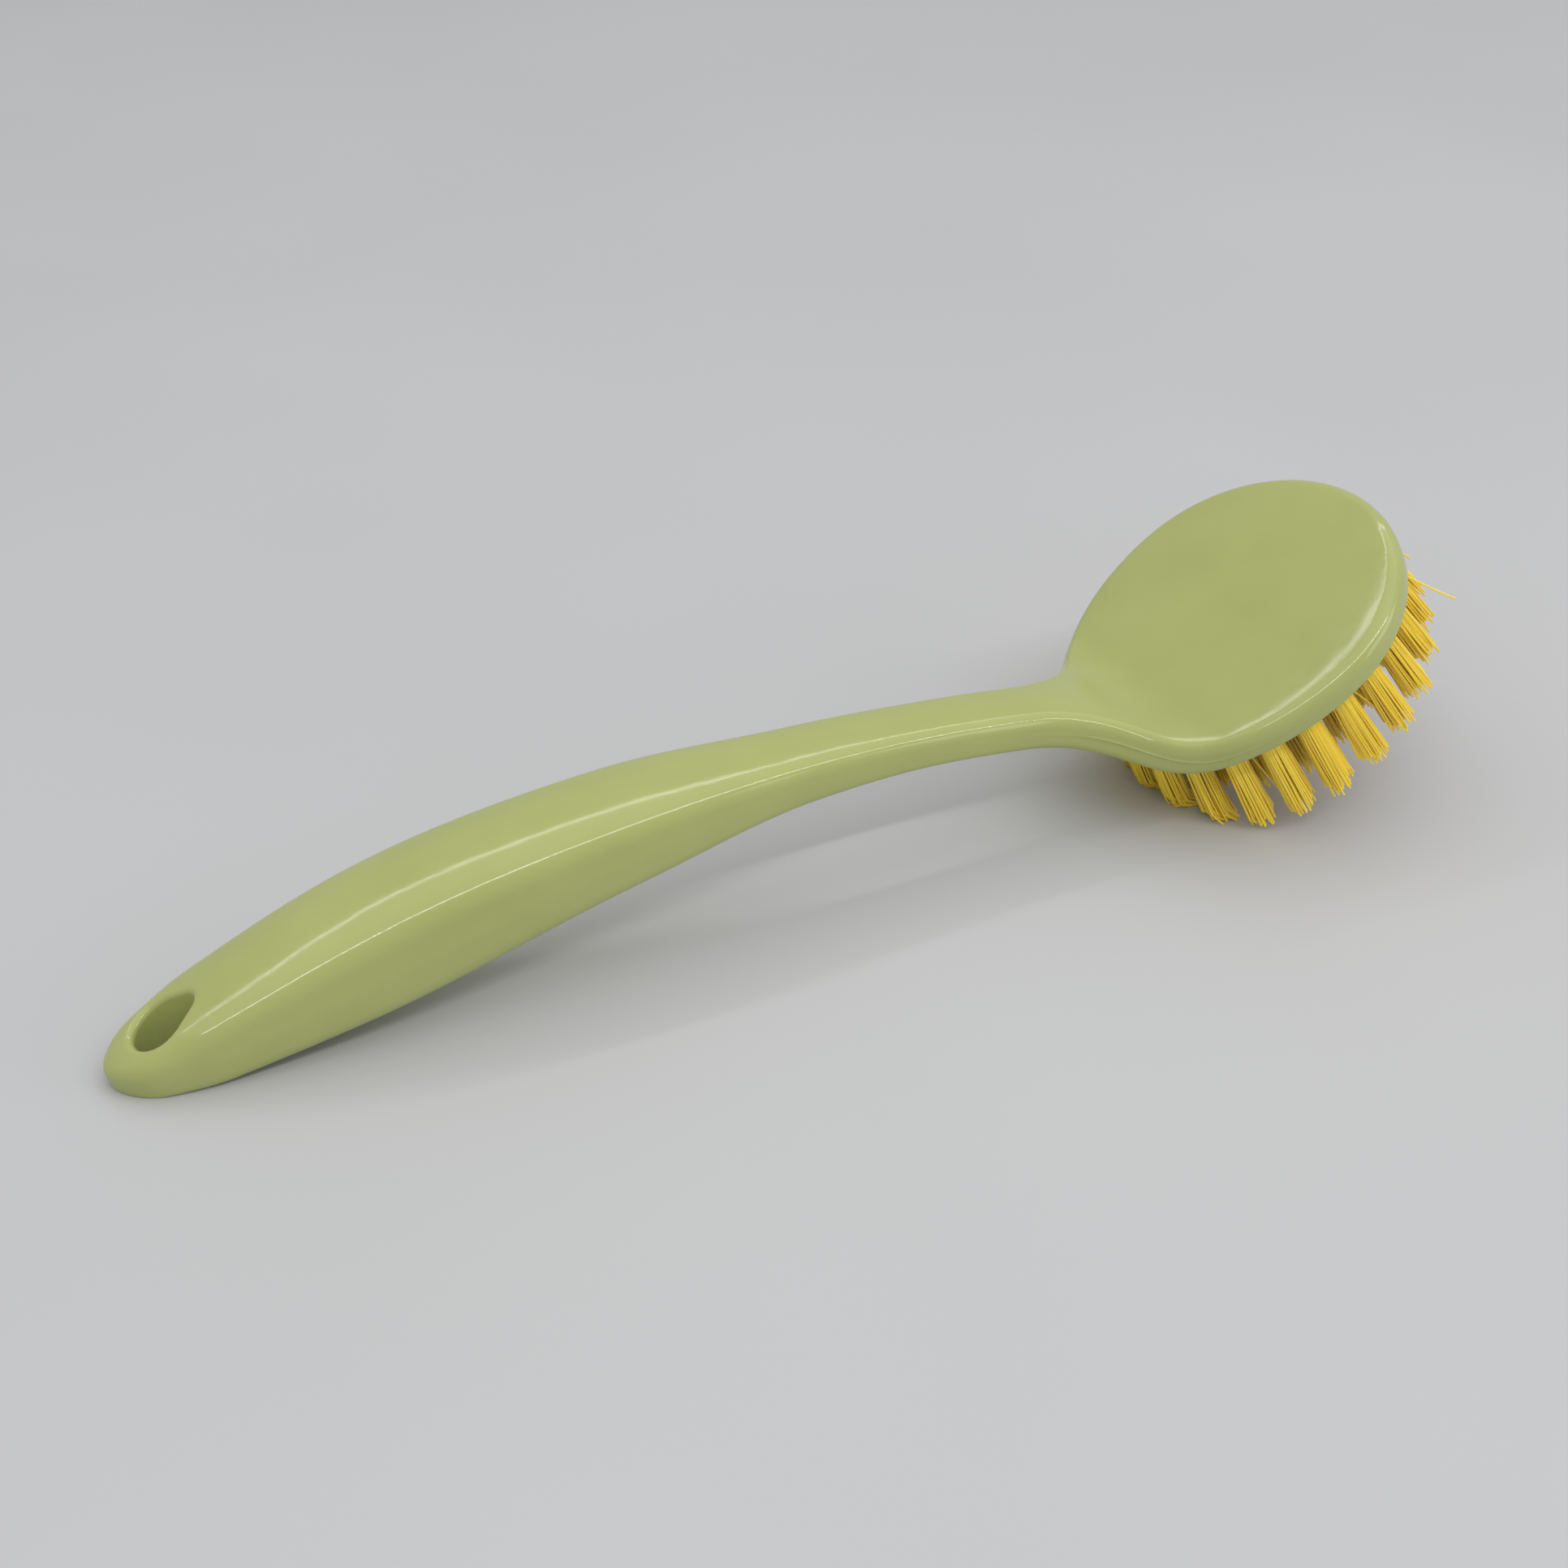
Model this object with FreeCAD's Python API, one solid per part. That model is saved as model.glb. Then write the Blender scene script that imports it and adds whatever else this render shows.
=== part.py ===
import FreeCAD, Part
import math
import os

# Dish brush lying on a table: one moulding with a grip, a neck and a round head, rings of bristle tufts
# in the face of the head, and a metal anchor that pins each folded tuft in its hole.
# X runs from the handle's end to the toe of the head, Z is up and the table is at Z = 0.

Vector = FreeCAD.Vector

# Driving dimensions: lengths in millimetres, angles in degrees.

# Spans of the spine, which is the parting line seen from the side, each one running on from the last
end_to_tail = 20.4
tail_to_grip = 38.0
grip_to_waist = 44.0
waist_to_shank = 38.0
shank_to_neck = 32.0
neck_to_throat = 22.0
throat_to_bend = 13.0
bend_to_flat = 18.0
flat_to_head = 22.0

# Height of the spine over the table at the handle's end, and its pitch at each station, plus when it climbs
end_height = 1.3
end_pitch_angle = 15.7
tail_pitch_angle = 16.1
grip_pitch_angle = 14.2
waist_pitch_angle = 8.2
shank_pitch_angle = 1.2
neck_pitch_angle = -5.2
throat_pitch_angle = -9.4
bend_pitch_angle = -15.2
head_pitch_angle = 33.2

# Half widths at the parting line. The end is rounded off over its length, and the toe is a half circle.
end_length = 8.4
end_half_width = 6.7
tail_half_width = 10.8
grip_half_width = 12.6
waist_half_width = 11.4
shank_half_width = 8.3
neck_half_width = 7.4
head_radius = 34.1

# Heel: half of an ellipse of this length, up to the share of it where a hollow curve to the neck takes over
heel_length = 42.2
heel_join_share = 0.84

# Thickness at each station, and the share of it that is above the parting line
end_thickness = 6.2
tail_thickness = 15.0
grip_thickness = 21.3
waist_thickness = 16.6
shank_thickness = 10.1
neck_thickness = 8.4
head_thickness = 8.2
rise_share = 0.55

# Rounding of the sections, with its limits where they are thin or narrow
side_draft = 3.0
end_shoulder_radius = 4.0
grip_shoulder_radius = 5.5
neck_shoulder_radius = 2.8
head_shoulder_radius = 2.9
shoulder_limit_share = 0.85
narrow_limit_share = 0.7
crown_share = 0.24
crown_limit_share = 0.5
edge_share = 0.5

# Hanging hole, a teardrop that points up the handle
hole_place = 11.0
hole_radius = 4.9
hole_point_radius = 2.7
hole_point_reach = 3.8

# Tufts: rings of holes in the face of the head, drawn out at the heel by a share of the heel's extra length,
# and the bristles that stand out of them
outer_ring_radius = 29.0
core_ring_radius = 4.8
heel_ring_share = 0.35
outer_tufts = 24
middle_tufts = 16
inner_tufts = 10
core_tufts = 4
outer_lean_angle = 8.0
middle_lean_angle = 5.0
inner_lean_angle = 3.0
core_lean_angle = 1.0
tuft_hole_radius = 2.7
tuft_hole_depth = 5.4
tuft_tip_radius = 3.4
bristle_length = 19.0
trim_angle = 5.5
tuft_fit_gap = 0.05

# Anchors: flat plates that span the hole and bite into the plastic at both sides, over the fold of the tuft
anchor_thickness = 0.5
anchor_height = 2.0
anchor_bite = 0.2
anchor_fold = 0.7

# How far every cut runs past the piece, and how finely curves are followed
overrun = 30.0
slices_per_span = 6
tip_share = 0.007
spine_runs = 300

# Stations along the spine, from the handle's end
tail_place = end_to_tail
grip_place = tail_place + tail_to_grip
waist_place = grip_place + grip_to_waist
shank_place = waist_place + waist_to_shank
neck_place = shank_place + shank_to_neck
throat_place = neck_place + neck_to_throat
bend_place = throat_place + throat_to_bend
flat_place = bend_place + bend_to_flat
head_place = flat_place + flat_to_head


def eased(places, values, place):
    """Smooth curve through the values at the places that never overshoots, level at its end."""
    if place <= places[0]:
        return values[0]
    if place >= places[-1]:
        return values[-1]
    spans = [b - a for a, b in zip(places, places[1:])]
    rates = [(b - a) / span for a, b, span in zip(values, values[1:], spans)]
    slopes = [rates[0]]
    for before, after in zip(rates, rates[1:]):
        slopes.append(2 * before * after / (before + after) if before * after > 0 else 0.0)
    slopes.append(0.0)
    k = max(i for i, start in enumerate(places[:-1]) if start <= place)
    t = (place - places[k]) / spans[k]
    start_bend = spans[k] * slopes[k] * t * (1 - t) ** 2
    end_bend = spans[k] * slopes[k + 1] * t * t * (t - 1)
    blend = t * t * (3 - 2 * t)
    return values[k] + (values[k + 1] - values[k]) * blend + start_bend + end_bend


def pitch_at(place):
    places = (0.0, tail_place, grip_place, waist_place, shank_place, neck_place, throat_place)
    handle_angles = (end_pitch_angle, tail_pitch_angle, grip_pitch_angle, waist_pitch_angle, shank_pitch_angle)
    head_angles = (neck_pitch_angle, throat_pitch_angle, bend_pitch_angle, head_pitch_angle)
    return math.radians(eased(places + (bend_place, flat_place), handle_angles + head_angles, place))


def ahead_at(place):
    """Share of the rounded end that lies between the place and the end's widest section."""
    return max(1 - place / end_length, 0.0)


def handle_half_width_at(place):
    """Half width of the handle, rounded off at its end."""
    places = (0.0, tail_place, grip_place, waist_place, shank_place, neck_place)
    values = (end_half_width, tail_half_width, grip_half_width, waist_half_width, shank_half_width)
    return eased(places, values + (neck_half_width,), place) * math.sqrt(1 - ahead_at(place) ** 2)


def half_width_at(place):
    """Half width of the moulding: the handle, a hollow curve out of the neck, and the ellipse of the heel."""
    join = heel_join_share * heel_length
    join_share = math.sqrt(1 - heel_join_share**2)
    tilt = math.atan(head_radius * heel_join_share / (heel_length * join_share))
    hollow_radius = (head_radius * join_share - neck_half_width) / (1 - math.cos(tilt))
    hollow_start = join + hollow_radius * math.sin(tilt)
    back = head_place - place
    if back < join:
        return head_radius * math.sqrt(1 - (back / heel_length) ** 2)
    if back < hollow_start:
        return neck_half_width + hollow_radius - math.sqrt(hollow_radius**2 - (hollow_start - back) ** 2)
    return handle_half_width_at(place)


def thickness_at(place):
    """Thickness of the moulding, rounded off more bluntly than its width at the end."""
    places = (0.0, tail_place, grip_place, waist_place, shank_place, neck_place, flat_place)
    values = (end_thickness, tail_thickness, grip_thickness, waist_thickness, shank_thickness, neck_thickness)
    blunt = math.sqrt(math.sqrt(1 - ahead_at(place) ** 4))
    return eased(places, values + (head_thickness,), place) * blunt


def shoulder_at(place):
    places = (0.0, grip_place, neck_place, flat_place)
    values = (end_shoulder_radius, grip_shoulder_radius, neck_shoulder_radius, head_shoulder_radius)
    return eased(places, values, place)


def spine_at(place):
    """Point of the spine, found by adding up short runs from the handle's end."""
    run = place / spine_runs
    point = Vector(0, 0, end_height)
    for k in range(spine_runs):
        pitch = pitch_at((k + 0.5) * run)
        point += Vector(math.cos(pitch), 0, math.sin(pitch)) * run
    return point


def along_at(place):
    """Direction of the spine, towards the toe."""
    pitch = pitch_at(place)
    return Vector(math.cos(pitch), 0, math.sin(pitch))


def normal_at(place):
    """Direction square to the spine, up out of the top."""
    pitch = pitch_at(place)
    return Vector(-math.sin(pitch), 0, math.cos(pitch))


def on_circle(centre, radius, angle):
    return (centre[0] + radius * math.cos(angle), centre[1] + radius * math.sin(angle))


def half_outline(place):
    """Right half of a section as named (across, up) points, measured from the spine."""
    width, thickness = half_width_at(place), thickness_at(place)
    rise = rise_share * thickness
    depth = thickness - rise
    edge = min(edge_share * depth, narrow_limit_share * width)
    draft = math.radians(side_draft)
    crown_drop = min(crown_share * rise, crown_limit_share * width)
    crown_radius = (width**2 + crown_drop**2) / (2 * crown_drop)
    crown_centre = (0.0, rise - crown_radius)
    radius = min(shoulder_at(place), shoulder_limit_share * (rise - crown_drop), narrow_limit_share * width)
    # The shoulder's centre is one radius inside the drafted side and one radius inside the crown.
    start = (width - radius * math.cos(draft), -radius * math.sin(draft) - crown_centre[1])
    lead = start[1] * math.cos(draft) - start[0] * math.sin(draft)
    excess = start[0] ** 2 + start[1] ** 2 - (crown_radius - radius) ** 2
    climb = math.sqrt(lead**2 - excess) - lead
    across = start[0] - climb * math.sin(draft)
    up = start[1] + climb * math.cos(draft)
    lean = math.atan2(up, across)
    corner = (across, up + crown_centre[1])
    foot = width - (depth - edge) * math.tan(draft)
    low_centre = (foot - edge, edge - depth)
    return {
        "top": (0.0, rise),
        "crown": on_circle(crown_centre, crown_radius, (lean + math.pi / 2) / 2),
        "crown_end": on_circle(corner, radius, lean),
        "shoulder": on_circle(corner, radius, (lean + draft) / 2),
        "side_top": on_circle(corner, radius, draft),
        "parting": (width, 0.0),
        "side_foot": (foot, edge - depth),
        "edge": on_circle(low_centre, edge, -math.pi / 4),
        "edge_end": (foot - edge, -depth),
        "bottom": (0.0, -depth),
    }


def placed(place, outline, side=1):
    """The outline's points in space, on the right side or mirrored to the left."""
    point, normal = spine_at(place), normal_at(place)
    return {name: point + Vector(0, side * across, 0) + normal * up for name, (across, up) in outline.items()}


def line(start, end):
    return Part.LineSegment(start, end).toShape()


def arc(start, middle, end):
    return Part.Arc(start, middle, end).toShape()


def side_edges(points):
    """Edges of one side of a section, from the crown down to the underside."""
    return [
        arc(points["crown_end"], points["shoulder"], points["side_top"]),
        line(points["side_top"], points["parting"]),
        line(points["parting"], points["side_foot"]),
        arc(points["side_foot"], points["edge"], points["edge_end"]),
    ]


def section(place):
    """Closed section of the moulding, square to the spine."""
    outline = half_outline(place)
    right, left = placed(place, outline), placed(place, outline, -1)
    crown = arc(left["crown_end"], right["top"], right["crown_end"])
    under = line(right["edge_end"], left["edge_end"])
    return Part.Wire([crown] + side_edges(right) + [under] + side_edges(left)[::-1])


def loft_places():
    """Places of the sections from the tip of the handle to the head's middle, close together at the tip."""
    first = math.acos(1 - tip_share)
    turns = [first + (math.pi / 2 - first) * k / slices_per_span for k in range(slices_per_span)]
    places = [end_length * (1 - math.cos(turn)) for turn in turns]
    stations = [end_length, tail_place, grip_place, waist_place, shank_place, neck_place, throat_place]
    stations += [bend_place, flat_place, head_place]
    for start, end in zip(stations, stations[1:]):
        places += [start + (end - start) * k / slices_per_span for k in range(slices_per_span)]
    return places + [head_place]


def toe():
    """Round front of the head: half of its middle section, turned about the head's middle."""
    right = placed(head_place, half_outline(head_place))
    crown = arc(right["top"], right["crown"], right["crown_end"])
    under = line(right["edge_end"], right["bottom"])
    axis = line(right["bottom"], right["top"])
    face = Part.Face(Part.Wire([crown] + side_edges(right) + [under, axis]))
    return face.revolve(spine_at(head_place), normal_at(head_place), -180)


def hanging_hole():
    """Upright teardrop prism: a round end, two straight sides and a small round point up the handle."""
    spread = math.acos((hole_radius - hole_point_radius) / hole_point_reach)
    base = Vector(spine_at(hole_place).x, 0, -overrun)
    point = base + Vector(hole_point_reach, 0, 0)
    left = Vector(math.cos(spread), math.sin(spread), 0)
    right = Vector(math.cos(spread), -math.sin(spread), 0)
    round_side = arc(base + left * hole_radius, base - Vector(hole_radius, 0, 0), base + right * hole_radius)
    tip_middle = point + Vector(hole_point_radius, 0, 0)
    tip = arc(point + right * hole_point_radius, tip_middle, point + left * hole_point_radius)
    right_side = line(base + right * hole_radius, point + right * hole_point_radius)
    left_side = line(point + left * hole_point_radius, base + left * hole_radius)
    face = Part.Face(Part.Wire([round_side, right_side, tip, left_side]))
    return face.extrude(Vector(0, 0, 2 * overrun + grip_thickness))


def below_table():
    length = head_place + 2 * overrun
    width = 2 * (head_radius + overrun)
    return Part.makeBox(length, width, overrun, Vector(-overrun, -width / 2, -overrun))


def moulding():
    """Grip, neck and head in one solid, with the flat foot and the hanging hole, before the tufts are set."""
    middle = Part.makeLoft([section(place) for place in loft_places()], True, True)
    return middle.fuse(toe()).cut([below_table(), hanging_hole()])


def rings():
    """Name, radius, number of tufts and outward lean of each ring, evenly spaced outwards from the core."""
    ring_step = (outer_ring_radius - core_ring_radius) / 3
    inner_ring_radius = core_ring_radius + ring_step
    middle_ring_radius = inner_ring_radius + ring_step
    return (
        ("outer", outer_ring_radius, outer_tufts, outer_lean_angle),
        ("middle", middle_ring_radius, middle_tufts, middle_lean_angle),
        ("inner", inner_ring_radius, inner_tufts, inner_lean_angle),
        ("core", core_ring_radius, core_tufts, core_lean_angle),
    )


def face_at(place):
    """Middle of the face under the spine, which is flat below the head and curves up to the neck."""
    depth = (1 - rise_share) * thickness_at(place)
    return spine_at(place) - normal_at(place) * depth


def tuft_seats():
    """Name, mouth, outward direction, sideways direction and slant to the face of each tuft's hole."""
    along, out = along_at(head_place), -normal_at(head_place)
    heel_stretch = 1 + heel_ring_share * (heel_length / head_radius - 1)
    seats = []
    for ring, radius, count, lean in rings():
        for k in range(count):
            turn = 2 * math.pi * k / count
            radial = along * math.cos(turn) + Vector(0, math.sin(turn), 0)
            sideways = Vector(0, math.cos(turn), 0) - along * math.sin(turn)
            tilt = math.radians(lean)
            direction = out * math.cos(tilt) + radial * math.sin(tilt)
            ahead = radius * max(math.cos(turn), 0.0)
            place = head_place + radius * heel_stretch * min(math.cos(turn), 0.0)
            mouth = face_at(place) + along * ahead + Vector(0, radius * math.sin(turn), 0)
            slant = direction.getAngle(-normal_at(place))
            seats.append((f"tuft_{ring}_{k + 1:02d}", mouth, direction, sideways, slant))
    return seats


def tuft_hole(mouth, direction):
    root = mouth - direction * tuft_hole_depth
    return Part.makeCylinder(tuft_hole_radius, tuft_hole_depth + overrun, root, direction)


def anchor(mouth, direction, sideways):
    """Flat plate across the hole, over the fold of the tuft."""
    width = 2 * (tuft_hole_radius + anchor_bite)
    thin = direction.cross(sideways)
    root = mouth - direction * (tuft_hole_depth - anchor_fold)
    corner = root - sideways * (width / 2) - thin * (anchor_thickness / 2)
    corners = [corner, corner + sideways * width]
    corners += [corners[1] + thin * anchor_thickness, corner + thin * anchor_thickness, corner]
    return Part.Face(Part.makePolygon(corners)).extrude(direction * anchor_height)


def past_trim():
    """Block past the plane that the bristles are trimmed to, which nears the face of the head towards the toe."""
    out = -normal_at(head_place)
    tilt = math.radians(trim_angle)
    away = out * math.cos(tilt) + along_at(head_place) * math.sin(tilt)
    reach = head_radius + overrun
    return Part.makeCylinder(reach, overrun, face_at(head_place) + out * bristle_length, away)


def tuft(mouth, direction, sideways, slant, waste):
    """Folded bundle that fills its hole, flares outside it and ends at the trim, or at the table."""
    radius = tuft_hole_radius - tuft_fit_gap
    neck = radius * math.tan(slant) + tuft_fit_gap
    reach = bristle_length + tuft_tip_radius + head_thickness
    flare = (tuft_tip_radius - radius) / (bristle_length - neck)
    widest = radius + flare * (reach - neck)
    root = -tuft_hole_depth + tuft_fit_gap
    profile = [(0, root), (radius, root), (radius, neck), (widest, reach), (0, reach), (0, root)]
    outward = direction.cross(sideways)
    face = Part.Face(Part.makePolygon([mouth + outward * out + direction * up for out, up in profile]))
    bundle = face.revolve(mouth, direction, 360)
    return bundle.cut(waste + [anchor(mouth, direction, sideways)])


def build():
    """All the nodes by name, with the origin on the table under the middle of the brush."""
    seats = tuft_seats()
    waste = [past_trim(), below_table()]
    anchors = [anchor(mouth, direction, sideways) for _, mouth, direction, sideways, _ in seats]
    holes = [tuft_hole(mouth, direction) for _, mouth, direction, _, _ in seats]
    nodes = {"handle_body": moulding().cut(holes + anchors), "tuft_anchors": Part.makeCompound(anchors)}
    for name, mouth, direction, sideways, slant in seats:
        nodes[name] = tuft(mouth, direction, sideways, slant, waste)
    box = Part.makeCompound(list(nodes.values())).optimalBoundingBox()
    for shape in nodes.values():
        shape.translate(Vector(-box.Center.x, 0, 0))
    return nodes


os.makedirs("parts", exist_ok=True)
for name, shape in build().items():
    shape.exportStep(f"parts/{name}.step")
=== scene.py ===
import math
import random

import bmesh
import bpy
from mathutils import Matrix, Vector
from mathutils.bvhtree import BVHTree


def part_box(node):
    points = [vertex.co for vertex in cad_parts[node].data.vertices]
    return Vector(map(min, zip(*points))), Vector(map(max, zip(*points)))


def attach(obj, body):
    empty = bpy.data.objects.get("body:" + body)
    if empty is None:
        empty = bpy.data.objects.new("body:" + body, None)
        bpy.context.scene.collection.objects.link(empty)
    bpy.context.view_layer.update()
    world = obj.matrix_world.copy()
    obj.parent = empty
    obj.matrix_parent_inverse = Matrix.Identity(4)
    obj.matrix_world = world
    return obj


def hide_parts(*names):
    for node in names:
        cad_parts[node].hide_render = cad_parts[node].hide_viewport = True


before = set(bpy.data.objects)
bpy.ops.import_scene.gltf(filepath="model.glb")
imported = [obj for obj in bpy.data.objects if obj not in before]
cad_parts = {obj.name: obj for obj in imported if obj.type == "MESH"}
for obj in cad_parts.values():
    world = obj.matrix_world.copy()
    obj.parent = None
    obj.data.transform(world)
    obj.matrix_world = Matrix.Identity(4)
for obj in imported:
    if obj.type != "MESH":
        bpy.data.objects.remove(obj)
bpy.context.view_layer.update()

# Sizes of the brush in millimetres and degrees, as in the solids. Meshes turn into metres when they are made.
millimetre = 0.001
seed = 41

# Spine: spans, height at the handle's end, and pitch at each station
end_to_tail = 20.4
tail_to_grip = 38.0
grip_to_waist = 44.0
waist_to_shank = 38.0
shank_to_neck = 32.0
neck_to_throat = 22.0
throat_to_bend = 13.0
bend_to_flat = 18.0
flat_to_head = 22.0
end_height = 1.3
handle_pitch_angles = (15.7, 16.1, 14.2, 8.2, 1.2)
head_pitch_angles = (-5.2, -9.4, -15.2, 33.2)

# Half widths, thicknesses and roundings of the sections
end_length = 8.4
handle_half_widths = (6.7, 10.8, 12.6, 11.4, 8.3, 7.4)
head_radius = 34.1
heel_length = 42.2
heel_join_share = 0.84
handle_thicknesses = (6.2, 15.0, 21.3, 16.6, 10.1, 8.4)
head_thickness = 8.2
rise_share = 0.55
side_draft = 3.0
shoulder_radii = (4.0, 5.5, 2.8, 2.9)
shoulder_limit_share = 0.85
narrow_limit_share = 0.7
crown_share = 0.24
crown_limit_share = 0.5
edge_share = 0.5
seam_height = 0.22
seam_reach = 0.25

# Hanging hole
hole_place = 11.0
hole_radius = 4.9
hole_point_radius = 2.7
hole_point_reach = 3.8
hole_rim_radius = 1.3
hole_rim_edge_angle = 14.0

# Tufts
outer_ring_radius = 29.0
core_ring_radius = 4.8
heel_ring_share = 0.35
ring_names = ("outer", "middle", "inner", "core")
ring_counts = (24, 16, 10, 4)
ring_lean_angles = (8.0, 5.0, 3.0, 1.0)
tuft_hole_radius = 2.7
tuft_hole_depth = 5.4
tuft_tip_radius = 3.4
bristle_length = 19.0
trim_angle = 5.5

# Bristles
outer_bristles = 44
inner_bristles = 44
outer_layer_share = 0.88
bristle_radius = 0.22
bristle_sides = 5
bristle_runs = 6
bristle_root_depth = 2.4
bristle_short = 2.4
bristle_long = 1.1
bristle_wander = 0.3
bristle_bow = 0.4
stray_share = 0.03
stray_wander = 3.0
table_clearance = 0.1
table_splay_share = 0.7

# How finely the moulding is followed
place_step = 1.3
tip_share = 0.001
tip_steps = 18
crown_steps = 12
shoulder_steps = 9
side_steps = 3
edge_steps = 6
under_steps = 8
round_steps = 40
spine_steps = 3000
hole_steps = 20
overrun = 30.0
weld_distance = 0.001
handle_crease_angle = 40.0
bristle_crease_angle = 50.0

# Colours, roughness from and to, noise scales, and bump heights in metres
handle_dark_green = (0.39, 0.426, 0.14, 1)
handle_light_green = (0.42, 0.455, 0.155, 1)
handle_roughness = (0.07, 0.14)
handle_refraction = 1.49
handle_subsurface_share = 0.1
handle_subsurface_radius = (0.004, 0.004, 0.002)
mottle_scale = 55.0
mottle_detail = 4.0
gloss_scale = 240.0
sink_scale = 45.0
sink_detail = 0.0
sink_height = 0.0008
sink_strength = 0.35
ripple_scale = 170.0
ripple_detail = 1.0
ripple_height = 0.00015
ripple_strength = 0.4
grain_scale = 2400.0
grain_height = 0.00003
grain_strength = 0.2
bristle_dark_yellow = (0.94, 0.66, 0.04, 1)
bristle_light_yellow = (1.0, 0.78, 0.08, 1)
bristle_roughness = (0.28, 0.5)
bristle_gloss_scale = 900.0
bristle_grain_scale = 3000.0
bristle_grain_height = 0.00005
bristle_grain_strength = 0.3
anchor_dark_grey = (0.5, 0.49, 0.46, 1)
anchor_light_grey = (0.68, 0.67, 0.64, 1)
anchor_roughness = (0.25, 0.45)
anchor_line_scale = 1500.0
anchor_line_detail = 3.0
table_dark_grey = (0.515, 0.515, 0.52, 1)
table_light_grey = (0.535, 0.535, 0.54, 1)
table_roughness = (0.5, 0.6)
table_cloud_scale = 6.0

# Camera, with its distance and aim in millimetres
image_width_px = 1932
focal_length_px = 3000.0
sensor_width_mm = 36.0
camera_elevation_angle = 33.5216
camera_turn_angle = 26.693
camera_roll_angle = 0.4219
camera_distance_mm = 513.97
camera_aim_mm = (150.845, 34.084)
camera_near_clip = 0.01

# Floor and light, in metres and watts
floor_size = 6.0
surround_colour = (0.975, 0.985, 1.0, 1)
surround_strength = 0.51
light_height = 1.2
front_strip_place = -0.85
back_strip_place = 0.72
panel_place = (front_strip_place + back_strip_place) / 2
panel_depth = back_strip_place - front_strip_place
panel_power = 6.9
strip_length = 2.4
strip_depth = 0.05
front_strip_power = 7.0
back_strip_power = 2.4
fill_place = (1.1, -0.9, 0.5)
fill_aim = (0.08, 0.0, 0.03)
fill_width = 0.9
fill_depth = 0.6
fill_power = 3.2

# Stations along the spine
tail_place = end_to_tail
grip_place = tail_place + tail_to_grip
waist_place = grip_place + grip_to_waist
shank_place = waist_place + waist_to_shank
neck_place = shank_place + shank_to_neck
throat_place = neck_place + neck_to_throat
bend_place = throat_place + throat_to_bend
flat_place = bend_place + bend_to_flat
head_place = flat_place + flat_to_head
handle_places = (tail_place, grip_place, waist_place, shank_place, neck_place)


def eased(places, values, place):
    """Smooth curve through the values at the places that never overshoots, level at its end."""
    if place <= places[0]:
        return values[0]
    if place >= places[-1]:
        return values[-1]
    spans = [b - a for a, b in zip(places, places[1:])]
    rates = [(b - a) / span for a, b, span in zip(values, values[1:], spans)]
    slopes = [rates[0]]
    for before, after in zip(rates, rates[1:]):
        slopes.append(2 * before * after / (before + after) if before * after > 0 else 0.0)
    slopes.append(0.0)
    k = max(i for i, start in enumerate(places[:-1]) if start <= place)
    t = (place - places[k]) / spans[k]
    start_bend = spans[k] * slopes[k] * t * (1 - t) ** 2
    end_bend = spans[k] * slopes[k + 1] * t * t * (t - 1)
    blend = t * t * (3 - 2 * t)
    return values[k] + (values[k + 1] - values[k]) * blend + start_bend + end_bend


def pitch_at(place):
    places = (0.0,) + handle_places + (throat_place, bend_place, flat_place)
    return math.radians(eased(places, handle_pitch_angles + head_pitch_angles, place))


def ahead_at(place):
    """Share of the rounded end that lies between the place and the end's widest section."""
    return max(1 - place / end_length, 0.0)


def half_width_at(place):
    """Half width of the moulding: the handle, a hollow curve out of the neck, and the ellipse of the heel."""
    neck_half_width = handle_half_widths[-1]
    join = heel_join_share * heel_length
    join_share = math.sqrt(1 - heel_join_share**2)
    tilt = math.atan(head_radius * heel_join_share / (heel_length * join_share))
    hollow_radius = (head_radius * join_share - neck_half_width) / (1 - math.cos(tilt))
    hollow_start = join + hollow_radius * math.sin(tilt)
    back = head_place - place
    if back < join:
        return head_radius * math.sqrt(1 - (back / heel_length) ** 2)
    if back < hollow_start:
        return neck_half_width + hollow_radius - math.sqrt(hollow_radius**2 - (hollow_start - back) ** 2)
    return eased((0.0,) + handle_places, handle_half_widths, place) * math.sqrt(1 - ahead_at(place) ** 2)


def thickness_at(place):
    """Thickness of the moulding, which rounds off at the tip of the handle."""
    places = (0.0,) + handle_places + (flat_place,)
    blunt = math.sqrt(math.sqrt(1 - ahead_at(place) ** 4))
    return eased(places, handle_thicknesses + (head_thickness,), place) * blunt


def shoulder_at(place):
    return eased((0.0, grip_place, neck_place, flat_place), shoulder_radii, place)


def spine_points():
    """Points of the spine at even steps from the handle's end to the middle of the head."""
    run = head_place / spine_steps
    points = [Vector((0, 0, end_height))]
    for k in range(spine_steps):
        points.append(points[-1] + along_at((k + 0.5) * run) * run)
    return points


def along_at(place):
    pitch = pitch_at(place)
    return Vector((math.cos(pitch), 0, math.sin(pitch)))


def normal_at(place):
    pitch = pitch_at(place)
    return Vector((-math.sin(pitch), 0, math.cos(pitch)))


spine = spine_points()


def spine_at(place):
    share = place / head_place * spine_steps
    k = min(int(share), spine_steps - 1)
    return spine[k].lerp(spine[k + 1], share - k)


def turned(centre, radius, start, end, steps):
    """Points of an arc from one angle to another, without the last one."""
    angles = [start + (end - start) * k / steps for k in range(steps)]
    return [(centre[0] + radius * math.cos(a), centre[1] + radius * math.sin(a)) for a in angles]


def straight(start, end, steps):
    """Points of a straight run, without the last one."""
    shares = [k / steps for k in range(steps)]
    return [(start[0] + (end[0] - start[0]) * s, start[1] + (end[1] - start[1]) * s) for s in shares]


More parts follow.
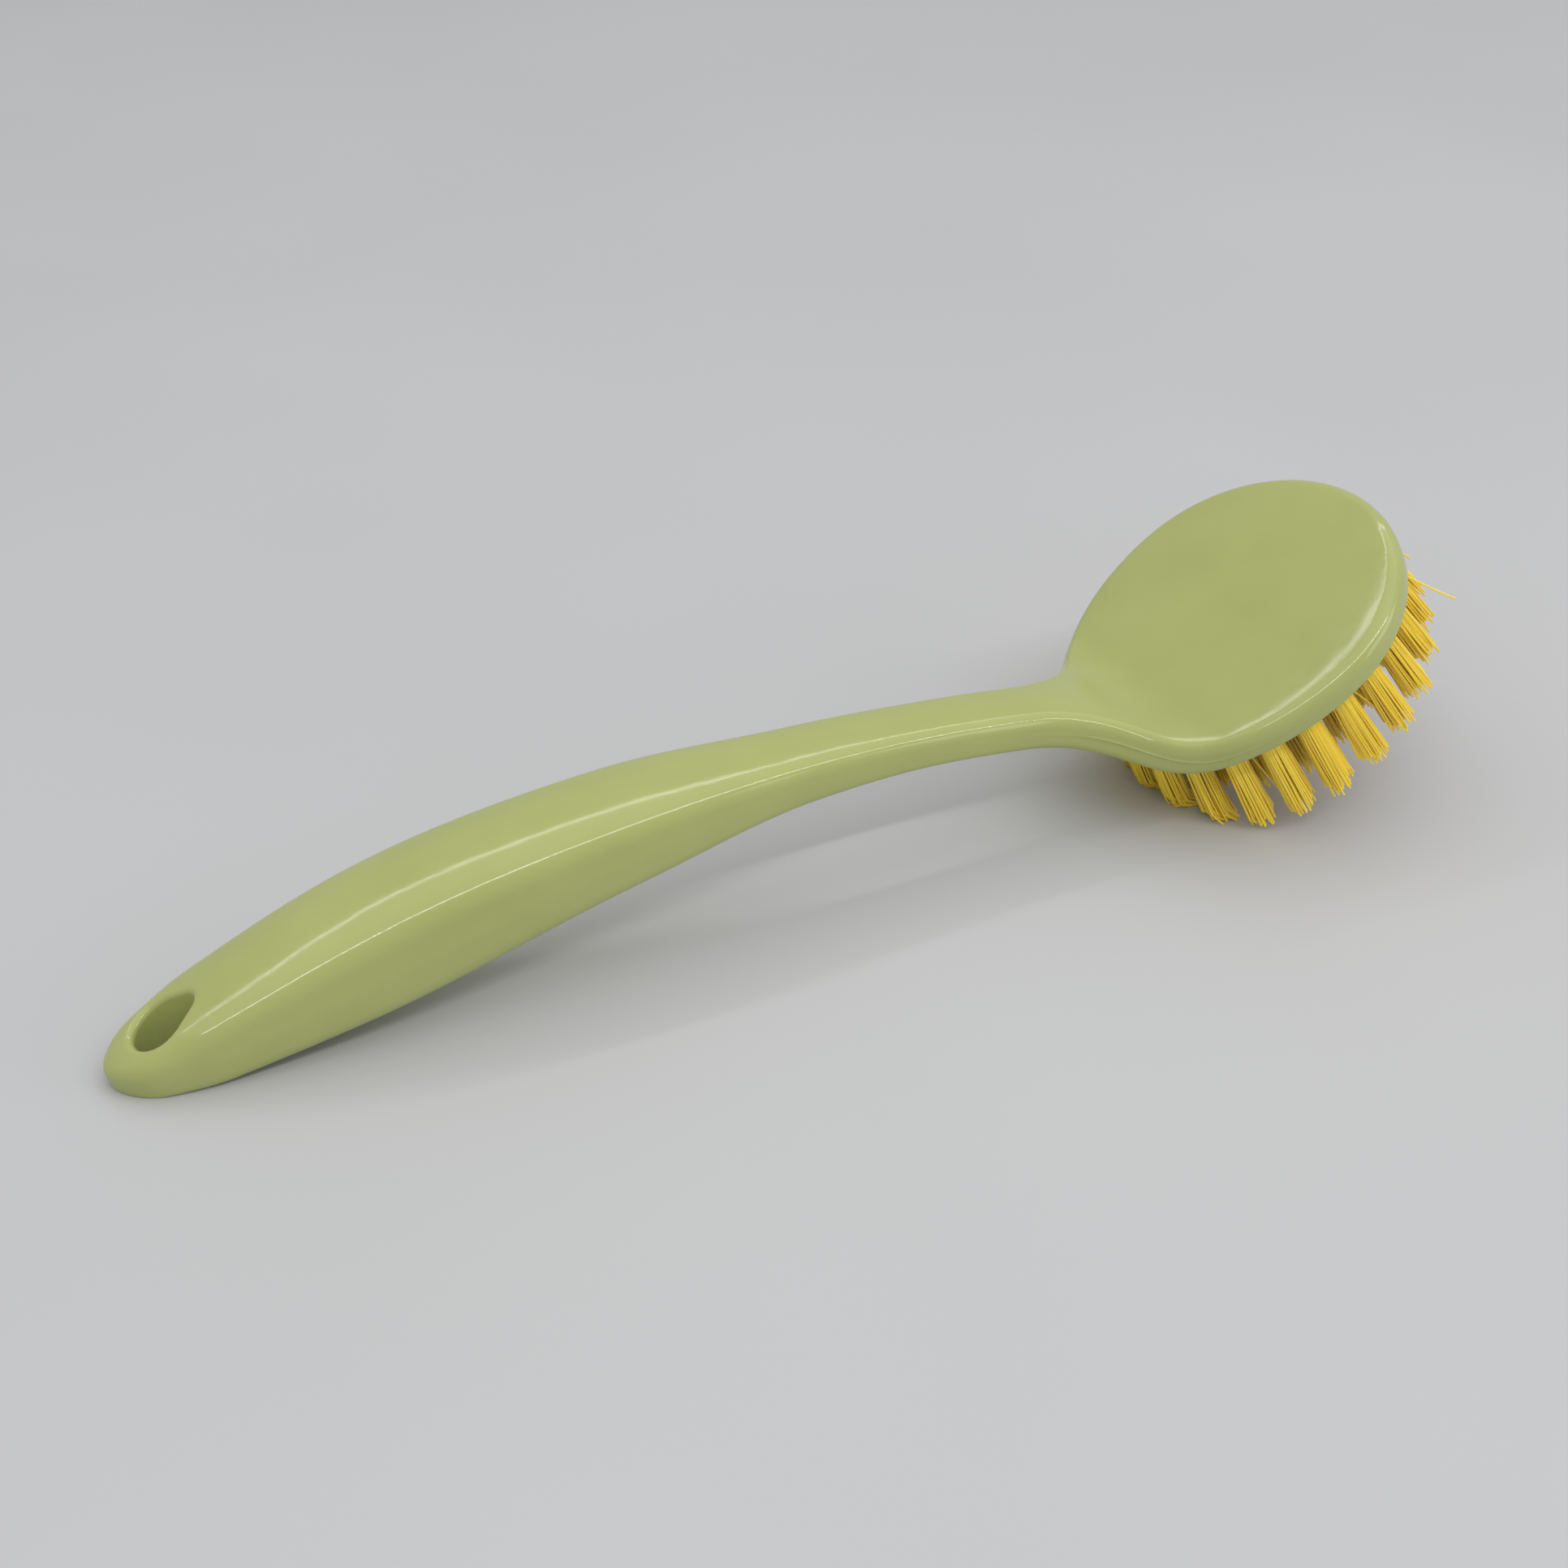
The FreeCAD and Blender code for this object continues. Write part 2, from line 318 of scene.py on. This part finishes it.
def half_profile(place):
    """Right half of a section as (across, up) points from the top round to the middle of the underside."""
    width, thickness = half_width_at(place), thickness_at(place)
    rise = rise_share * thickness
    depth = thickness - rise
    edge = min(edge_share * depth, narrow_limit_share * width)
    draft = math.radians(side_draft)
    crown_drop = min(crown_share * rise, crown_limit_share * width)
    crown_radius = (width**2 + crown_drop**2) / (2 * crown_drop)
    crown_centre = (0.0, rise - crown_radius)
    radius = min(shoulder_at(place), shoulder_limit_share * (rise - crown_drop), narrow_limit_share * width)
    start = (width - radius * math.cos(draft), -radius * math.sin(draft) - crown_centre[1])
    lead = start[1] * math.cos(draft) - start[0] * math.sin(draft)
    excess = start[0] ** 2 + start[1] ** 2 - (crown_radius - radius) ** 2
    climb = math.sqrt(lead**2 - excess) - lead
    across = start[0] - climb * math.sin(draft)
    up = start[1] + climb * math.cos(draft)
    lean = math.atan2(up, across)
    corner = (across, up + crown_centre[1])
    side_top = (corner[0] + radius * math.cos(draft), corner[1] + radius * math.sin(draft))
    side_foot = (width - (depth - edge) * math.tan(draft), edge - depth)
    low_centre = (side_foot[0] - edge, edge - depth)
    points = turned(crown_centre, crown_radius, math.pi / 2, lean, crown_steps)
    points += turned(corner, radius, lean, draft, shoulder_steps)
    seam = eased((throat_place, bend_place, head_place), (0.0, seam_height, 0.0), place)
    points += straight(side_top, (width, seam_reach), side_steps)
    points += [(width, seam_reach), (width + seam, 0.0)]
    points += straight((width, -seam_reach), side_foot, side_steps)
    points += turned(low_centre, edge, 0.0, -math.pi / 2, edge_steps)
    points += straight((low_centre[0], -depth), (0.0, -depth), under_steps)
    return points + [(0.0, -depth)]


def section_row(place):
    """Closed section of the moulding as points in space."""
    profile = half_profile(place)
    middle, normal = spine_at(place), normal_at(place)
    right = [middle + Vector((0, across, 0)) + normal * up for across, up in profile]
    left = [middle - Vector((0, across, 0)) + normal * up for across, up in profile[-2:0:-1]]
    return right + left + right[:1]


def toe_rows():
    """Half sections turned from the right side to the left one, round the front of the head."""
    profile = half_profile(head_place)
    middle, normal, along = spine_at(head_place), normal_at(head_place), along_at(head_place)
    rows = []
    for k in range(round_steps + 1):
        angle = math.pi * k / round_steps
        out = Vector((0, math.cos(angle), 0)) + along * math.sin(angle)
        rows.append([middle + out * across + normal * up for across, up in profile])
    return rows


def section_places():
    """Places of the sections, closest together where the tip rounds off."""
    first = math.acos(1 - tip_share)
    turns = [first + (math.pi / 2 - first) * k / tip_steps for k in range(tip_steps)]
    count = math.ceil((head_place - end_length) / place_step)
    places = [end_length * (1 - math.cos(turn)) for turn in turns]
    return places + [end_length + (head_place - end_length) * k / count for k in range(count + 1)]


def add_sheet(work, rows):
    """Faces between rows of points."""
    made = [[work.verts.new(point) for point in row] for row in rows]
    for upper, lower in zip(made, made[1:]):
        for a, b, c, d in zip(upper, upper[1:], lower[1:], lower):
            work.faces.new((a, b, c, d))


def mesh_from(work, name):
    """Mesh in metres from the working mesh in millimetres."""
    bmesh.ops.scale(work, vec=Vector((millimetre, millimetre, millimetre)), verts=work.verts)
    mesh = bpy.data.meshes.new(name)
    work.to_mesh(mesh)
    work.free()
    return mesh


def moulding_work():
    """Grip, neck and head as one closed working mesh that lies flat on the table at the handle's end."""
    work = bmesh.new()
    rows = [section_row(place) for place in section_places()]
    add_sheet(work, rows)
    work.faces.new([work.verts.new(point) for point in rows[0][:-1]])
    add_sheet(work, toe_rows())
    bmesh.ops.remove_doubles(work, verts=work.verts, dist=weld_distance)
    for vert in work.verts:
        vert.co.z = max(vert.co.z, 0.0)
    bmesh.ops.recalc_face_normals(work, faces=work.faces)
    return work


def teardrop():
    """Outline of the hanging hole as (point, outward direction) pairs, anticlockwise."""
    join_turn = math.acos((hole_radius - hole_point_radius) / hole_point_reach)
    base = Vector((spine_at(hole_place).x, 0, 0))
    point = base + Vector((hole_point_reach, 0, 0))
    pairs = []
    for centre, radius, start, end in (
        (base, hole_radius, join_turn, 2 * math.pi - join_turn),
        (point, hole_point_radius, -join_turn, join_turn),
    ):
        for k in range(hole_steps + 1):
            angle = start + (end - start) * k / hole_steps
            out = Vector((math.cos(angle), math.sin(angle), 0))
            pairs.append((centre + out * radius, out))
    return pairs


def rim_profile(tree, point, out):
    """Wall of the hole at one point of its outline, which rolls over into the top of the moulding."""

    def top(reach):
        place = point + out * reach
        return tree.ray_cast(Vector((place.x, place.y, 2 * overrun)), Vector((0, 0, -1)))[0].z

    slope = math.atan2(top(hole_rim_radius) - top(0.0), hole_rim_radius)
    last = math.pi / 2 - slope - math.radians(hole_rim_edge_angle)
    lip = hole_rim_radius * (1 - math.cos(last))
    start = top(lip) - hole_rim_radius * math.sin(last)
    heights = [Vector((0, 0, -overrun))]
    reaches = [0.0]
    for k in range(edge_steps + 1):
        angle = last * k / edge_steps
        reaches.append(hole_rim_radius * (1 - math.cos(angle)))
        heights.append(Vector((0, 0, start + hole_rim_radius * math.sin(angle))))
    reaches.append(lip + hole_rim_radius * math.sin(last))
    heights.append(Vector((0, 0, top(lip) + hole_rim_radius * math.cos(last))))
    reaches.append(reaches[-1])
    heights.append(Vector((0, 0, 2 * overrun)))
    return [point + out * reach + height for reach, height in zip(reaches, heights)]


def face_at(place):
    """Middle of the face under the spine, which is flat below the head and curves up to the neck."""
    return spine_at(place) - normal_at(place) * ((1 - rise_share) * thickness_at(place))


def trim_away():
    """Outward direction of the plane of the bristles' trim, which nears the face towards the toe."""
    tilt = math.radians(trim_angle)
    return along_at(head_place) * math.sin(tilt) - normal_at(head_place) * math.cos(tilt)


def ring_seats():
    """Name, mouth, outward direction and distance to the trim of each tuft's hole, as in the solids."""
    along, normal = along_at(head_place), normal_at(head_place)
    heel_stretch = 1 + heel_ring_share * (heel_length / head_radius - 1)
    ring_step = (outer_ring_radius - core_ring_radius) / (len(ring_counts) - 1)
    trim_middle = face_at(head_place) - normal * bristle_length
    seats = []
    for ring, (name, count, lean) in enumerate(zip(ring_names, ring_counts, ring_lean_angles)):
        radius = outer_ring_radius - ring * ring_step
        for k in range(count):
            turn = 2 * math.pi * k / count
            radial = along * math.cos(turn) + Vector((0, math.sin(turn), 0))
            tilt = math.radians(lean)
            direction = radial * math.sin(tilt) - normal * math.cos(tilt)
            ahead = radius * max(math.cos(turn), 0.0)
            place = head_place + radius * heel_stretch * min(math.cos(turn), 0.0)
            mouth = face_at(place) + along * ahead + Vector((0, radius * math.sin(turn), 0))
            trim_length = (trim_middle - mouth).dot(trim_away())
            seats.append((f"{name}_{k + 1:02d}", mouth, direction, trim_length))
    return seats


def frame_across(direction):
    """Two directions square to the given one."""
    side = direction.cross(Vector((0, 1, 0))).normalized()
    return side, direction.cross(side)


def cutter_work(tree):
    """Everything that is taken out of the moulding: the hanging hole and the sockets of the tufts."""
    work = bmesh.new()
    profiles = [rim_profile(tree, point, out) for point, out in teardrop()]
    add_sheet(work, profiles + profiles[:1])
    for end in (0, -1):
        work.faces.new([work.verts.new(profile[end]) for profile in profiles])
    for _, mouth, direction, _ in ring_seats():
        side, other = frame_across(direction)
        rows = []
        for depth in (-tuft_hole_depth, overrun / 2):
            turns = [2 * math.pi * k / hole_steps for k in range(hole_steps)]
            ring = [side * math.cos(a) + other * math.sin(a) for a in turns]
            rows.append([mouth + direction * depth + out * tuft_hole_radius for out in ring])
        add_sheet(work, [row + row[:1] for row in rows])
        for row in rows:
            work.faces.new([work.verts.new(point) for point in row])
    bmesh.ops.remove_doubles(work, verts=work.verts, dist=weld_distance)
    bmesh.ops.recalc_face_normals(work, faces=work.faces)
    return work


def frame_shift(work):
    """How far along X the working meshes are from the frame of the solids, in millimetres."""
    low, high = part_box("handle_body")
    along = [vert.co.x for vert in work.verts]
    return (low[0] + high[0]) / 2 / millimetre - (min(along) + max(along)) / 2


def add_object(name, mesh):
    piece = bpy.data.objects.new(name, mesh)
    bpy.context.scene.collection.objects.link(piece)
    return piece


def cut_by(piece, cutter):
    """The piece's mesh with the cutter taken out of it."""
    modifier = piece.modifiers.new("cut", "BOOLEAN")
    modifier.operation = "DIFFERENCE"
    modifier.solver = "EXACT"
    modifier.object = cutter
    graph = bpy.context.evaluated_depsgraph_get()
    mesh = bpy.data.meshes.new_from_object(piece.evaluated_get(graph))
    piece.modifiers.clear()
    bpy.data.objects.remove(cutter)
    return mesh


def make_handle(material):
    """The moulding with its hanging hole and sockets, and how far along X the frame lies from it."""
    work = moulding_work()
    shift = frame_shift(work)
    tree = BVHTree.FromBMesh(work)
    cutter = cutter_work(tree)
    for part in (work, cutter):
        bmesh.ops.translate(part, vec=Vector((shift, 0, 0)), verts=part.verts)
    piece = add_object("handle", mesh_from(work, "moulding"))
    piece.data = cut_by(piece, add_object("cutter", mesh_from(cutter, "cutter")))
    piece.data.shade_smooth()
    piece.data.set_sharp_from_angle(angle=math.radians(handle_crease_angle))
    piece.data.materials.clear()
    piece.data.materials.append(material)
    return piece, shift


def bristle_path(chance, mouth, direction, trim_length, spot):
    """Centre line of one bristle: out of its socket, flared, a little bowed, cut at an uneven length."""
    side, other = frame_across(direction)
    root_reach = tuft_hole_radius - 2 * bristle_radius
    flare = tuft_tip_radius / tuft_hole_radius
    root = (side * spot[0] + other * spot[1]) * root_reach
    wander = stray_wander if chance.random() < stray_share else bristle_wander
    tip = root * flare + side * chance.gauss(0, wander) + other * chance.gauss(0, wander)
    trim = trim_length + chance.uniform(-bristle_short, bristle_long) - tip.dot(trim_away())
    length = trim / direction.dot(trim_away())
    bow = side * chance.gauss(0, bristle_bow) + other * chance.gauss(0, bristle_bow)
    points = []
    for k in range(bristle_runs + 1):
        share = k / bristle_runs
        reach = share * (length + bristle_root_depth) - bristle_root_depth
        out = max(reach, 0.0) / length
        points.append(mouth + direction * reach + root + (tip - root) * out + bow * (out * (1 - out)))
    return [splayed(point, direction) for point in points]


def splayed(point, direction):
    """A point that would be under the table, lifted onto it and pushed outwards."""
    sunk = bristle_radius + table_clearance - point.z
    if sunk < 0:
        return point
    outward = Vector((direction.x, direction.y, 0)).normalized()
    return point + Vector((0, 0, sunk)) + outward * (sunk * table_splay_share)


def add_bristle(work, points):
    """One bristle: a thin closed tube along the points, its tip cut off."""
    rows = []
    for k, point in enumerate(points):
        ahead = points[min(k + 1, len(points) - 1)] - points[max(k - 1, 0)]
        side, other = frame_across(ahead.normalized())
        turns = [2 * math.pi * j / bristle_sides for j in range(bristle_sides)]
        rows.append([point + (side * math.cos(a) + other * math.sin(a)) * bristle_radius for a in turns])
    made = [[work.verts.new(point) for point in row] for row in rows]
    for lower, upper in zip(made, made[1:]):
        for j in range(bristle_sides):
            step = (j + 1) % bristle_sides
            work.faces.new((lower[j], lower[step], upper[step], upper[j]))
    work.faces.new(made[-1])
    work.faces.new(made[0][::-1])


def make_tuft(chance, name, mouth, direction, trim_length, shift, material):
    """One tuft of bristles: a close outer layer round an evenly filled core."""
    work = bmesh.new()
    golden = math.pi * (3 - math.sqrt(5))
    step = 2 * math.pi / outer_bristles
    spots = [(chance.uniform(outer_layer_share, 1.0), step * k) for k in range(outer_bristles)]
    for k in range(inner_bristles):
        spots.append((outer_layer_share * math.sqrt((k + 0.5) / inner_bristles), k * golden))
    for reach, turn in spots:
        spot = (reach * math.cos(turn), reach * math.sin(turn))
        add_bristle(work, bristle_path(chance, mouth, direction, trim_length, spot))
    bmesh.ops.recalc_face_normals(work, faces=work.faces)
    bmesh.ops.translate(work, vec=Vector((shift, 0, 0)), verts=work.verts)
    piece = add_object(f"bristles_{name}", mesh_from(work, f"bristles_{name}"))
    piece.data.shade_smooth()
    piece.data.set_sharp_from_angle(angle=math.radians(bristle_crease_angle))
    piece.data.materials.append(material)
    return piece


def new_material(name):
    material = bpy.data.materials.new(name)
    material.use_nodes = True
    nodes = material.node_tree.nodes
    return material, nodes, material.node_tree.links, nodes["Principled BSDF"]


def noise(nodes, links, coordinates, scale, detail=2.0):
    node = nodes.new("ShaderNodeTexNoise")
    node.inputs["Scale"].default_value = scale
    node.inputs["Detail"].default_value = detail
    links.new(coordinates, node.inputs["Vector"])
    return node.outputs["Fac"]


def ramp(nodes, links, value, low, high, start=0.3, end=0.7):
    node = nodes.new("ShaderNodeValToRGB")
    node.color_ramp.elements[0].position = start
    node.color_ramp.elements[0].color = low
    node.color_ramp.elements[1].position = end
    node.color_ramp.elements[1].color = high
    links.new(value, node.inputs["Fac"])
    return node.outputs["Color"]


def spread(nodes, links, value, low, high):
    node = nodes.new("ShaderNodeMapRange")
    node.inputs["To Min"].default_value = low
    node.inputs["To Max"].default_value = high
    links.new(value, node.inputs["Value"])
    return node.outputs["Result"]


def bump(nodes, links, height, distance, strength, normal=None):
    node = nodes.new("ShaderNodeBump")
    node.inputs["Distance"].default_value = distance
    node.inputs["Strength"].default_value = strength
    links.new(height, node.inputs["Height"])
    if normal is not None:
        links.new(normal, node.inputs["Normal"])
    return node.outputs["Normal"]


def handle_plastic():
    """Glossy pale green moulding: faint flow mottling, soft sink marks and a slightly uneven gloss."""
    material, nodes, links, shader = new_material("handle_plastic")
    place = nodes.new("ShaderNodeTexCoord").outputs["Object"]
    mottle = noise(nodes, links, place, mottle_scale, mottle_detail)
    green = ramp(nodes, links, mottle, handle_dark_green, handle_light_green)
    links.new(green, shader.inputs["Base Color"])
    gloss = spread(nodes, links, noise(nodes, links, place, gloss_scale), *handle_roughness)
    links.new(gloss, shader.inputs["Roughness"])
    sinks = noise(nodes, links, place, sink_scale, sink_detail)
    sink = bump(nodes, links, sinks, sink_height, sink_strength)
    ripples = noise(nodes, links, place, ripple_scale, ripple_detail)
    ripple = bump(nodes, links, ripples, ripple_height, ripple_strength, sink)
    grains = noise(nodes, links, place, grain_scale)
    grain = bump(nodes, links, grains, grain_height, grain_strength, ripple)
    links.new(grain, shader.inputs["Normal"])
    shader.inputs["IOR"].default_value = handle_refraction
    shader.inputs["Subsurface Weight"].default_value = handle_subsurface_share
    shader.inputs["Subsurface Radius"].default_value = handle_subsurface_radius
    shader.inputs["Subsurface Scale"].default_value = 1.0
    return material


def bristle_nylon():
    """Yellow filaments, each a slightly different tone, with an uneven gloss."""
    material, nodes, links, shader = new_material("bristle_nylon")
    tone = nodes.new("ShaderNodeNewGeometry").outputs["Random Per Island"]
    place = nodes.new("ShaderNodeTexCoord").outputs["Object"]
    yellow = ramp(nodes, links, tone, bristle_dark_yellow, bristle_light_yellow, 0.0, 1.0)
    links.new(yellow, shader.inputs["Base Color"])
    gloss = spread(nodes, links, noise(nodes, links, place, bristle_gloss_scale), *bristle_roughness)
    links.new(gloss, shader.inputs["Roughness"])
    grains = noise(nodes, links, place, bristle_grain_scale)
    grain = bump(nodes, links, grains, bristle_grain_height, bristle_grain_strength)
    links.new(grain, shader.inputs["Normal"])
    return material


def anchor_steel():
    """Bright flat wire with fine drawing lines."""
    material, nodes, links, shader = new_material("anchor_steel")
    place = nodes.new("ShaderNodeTexCoord").outputs["Object"]
    lines = noise(nodes, links, place, anchor_line_scale, anchor_line_detail)
    grey = ramp(nodes, links, lines, anchor_dark_grey, anchor_light_grey)
    links.new(grey, shader.inputs["Base Color"])
    links.new(spread(nodes, links, lines, *anchor_roughness), shader.inputs["Roughness"])
    shader.inputs["Metallic"].default_value = 1.0
    return material


def table_top():
    """Plain pale grey table with a very faint unevenness."""
    material, nodes, links, shader = new_material("table_top")
    place = nodes.new("ShaderNodeTexCoord").outputs["Object"]
    cloud = noise(nodes, links, place, table_cloud_scale)
    grey = ramp(nodes, links, cloud, table_dark_grey, table_light_grey)
    links.new(grey, shader.inputs["Base Color"])
    links.new(spread(nodes, links, cloud, *table_roughness), shader.inputs["Roughness"])
    return material


def make_camera(shift):
    """Camera at the photograph's place, aim and field of view."""
    elevation, turn = math.radians(camera_elevation_angle), math.radians(camera_turn_angle)
    roll = math.radians(camera_roll_angle)
    level = Vector((math.sin(turn), math.cos(turn), 0))
    right = Vector((math.cos(turn), -math.sin(turn), 0))
    forward = level * math.cos(elevation) - Vector((0, 0, math.sin(elevation)))
    upward = level * math.sin(elevation) + Vector((0, 0, math.cos(elevation)))
    side = right * math.cos(roll) + upward * math.sin(roll)
    top = upward * math.cos(roll) - right * math.sin(roll)
    aim = Vector((camera_aim_mm[0] + shift, camera_aim_mm[1], 0))
    data = bpy.data.cameras.new("camera")
    data.sensor_width = sensor_width_mm
    data.lens = focal_length_px / image_width_px * sensor_width_mm
    data.clip_start = camera_near_clip
    camera = bpy.data.objects.new("camera", data)
    bpy.context.scene.collection.objects.link(camera)
    axes = Matrix((side, top, -forward)).transposed().to_4x4()
    camera.matrix_world = Matrix.Translation((aim - forward * camera_distance_mm) * millimetre) @ axes
    bpy.context.scene.camera = camera


def make_floor(material):
    work = bmesh.new()
    bmesh.ops.create_grid(work, x_segments=1, y_segments=1, size=floor_size / 2)
    mesh = bpy.data.meshes.new("floor")
    work.to_mesh(mesh)
    work.free()
    floor = add_object("floor", mesh)
    floor.data.materials.append(material)


def add_light(name, place, aim, width, depth, power):
    data = bpy.data.lights.new(name, "AREA")
    data.shape = "RECTANGLE"
    data.size = width
    data.size_y = depth
    data.energy = power
    light = bpy.data.objects.new(name, data)
    light.location = place
    light.rotation_euler = (Vector(aim) - Vector(place)).to_track_quat("-Z", "Y").to_euler()
    bpy.context.scene.collection.objects.link(light)


def make_light():
    """Overhead panel between two strips that draw the lines on the gloss, a fill and an even surround."""
    world = bpy.data.worlds.new("surround")
    bpy.context.scene.world = world
    world.use_nodes = True
    background = world.node_tree.nodes["Background"]
    background.inputs["Color"].default_value = surround_colour
    background.inputs["Strength"].default_value = surround_strength
    panel = (0, panel_place, light_height)
    add_light("overhead", panel, (0, panel_place, 0), strip_length, panel_depth, panel_power)
    front, back = (0, front_strip_place, light_height), (0, back_strip_place, light_height)
    add_light("front_strip", front, (0, 0, 0), strip_length, strip_depth, front_strip_power)
    add_light("back_strip", back, (0, 0, 0), strip_length, strip_depth, back_strip_power)
    add_light("fill", fill_place, fill_aim, fill_width, fill_depth, fill_power)
    bpy.context.scene.view_settings.view_transform = "Standard"


def main():
    chance = random.Random(seed)
    handle, shift = make_handle(handle_plastic())
    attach(handle, "root")
    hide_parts("handle_body")
    nylon = bristle_nylon()
    for name, mouth, direction, trim_length in ring_seats():
        tuft = make_tuft(chance, name, mouth, direction, trim_length, shift, nylon)
        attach(tuft, "root")
        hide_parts(f"tuft_{name}")
    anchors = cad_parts["tuft_anchors"]
    anchors.data.materials.clear()
    anchors.data.materials.append(anchor_steel())
    make_floor(table_top())
    make_camera(shift)
    make_light()


main()
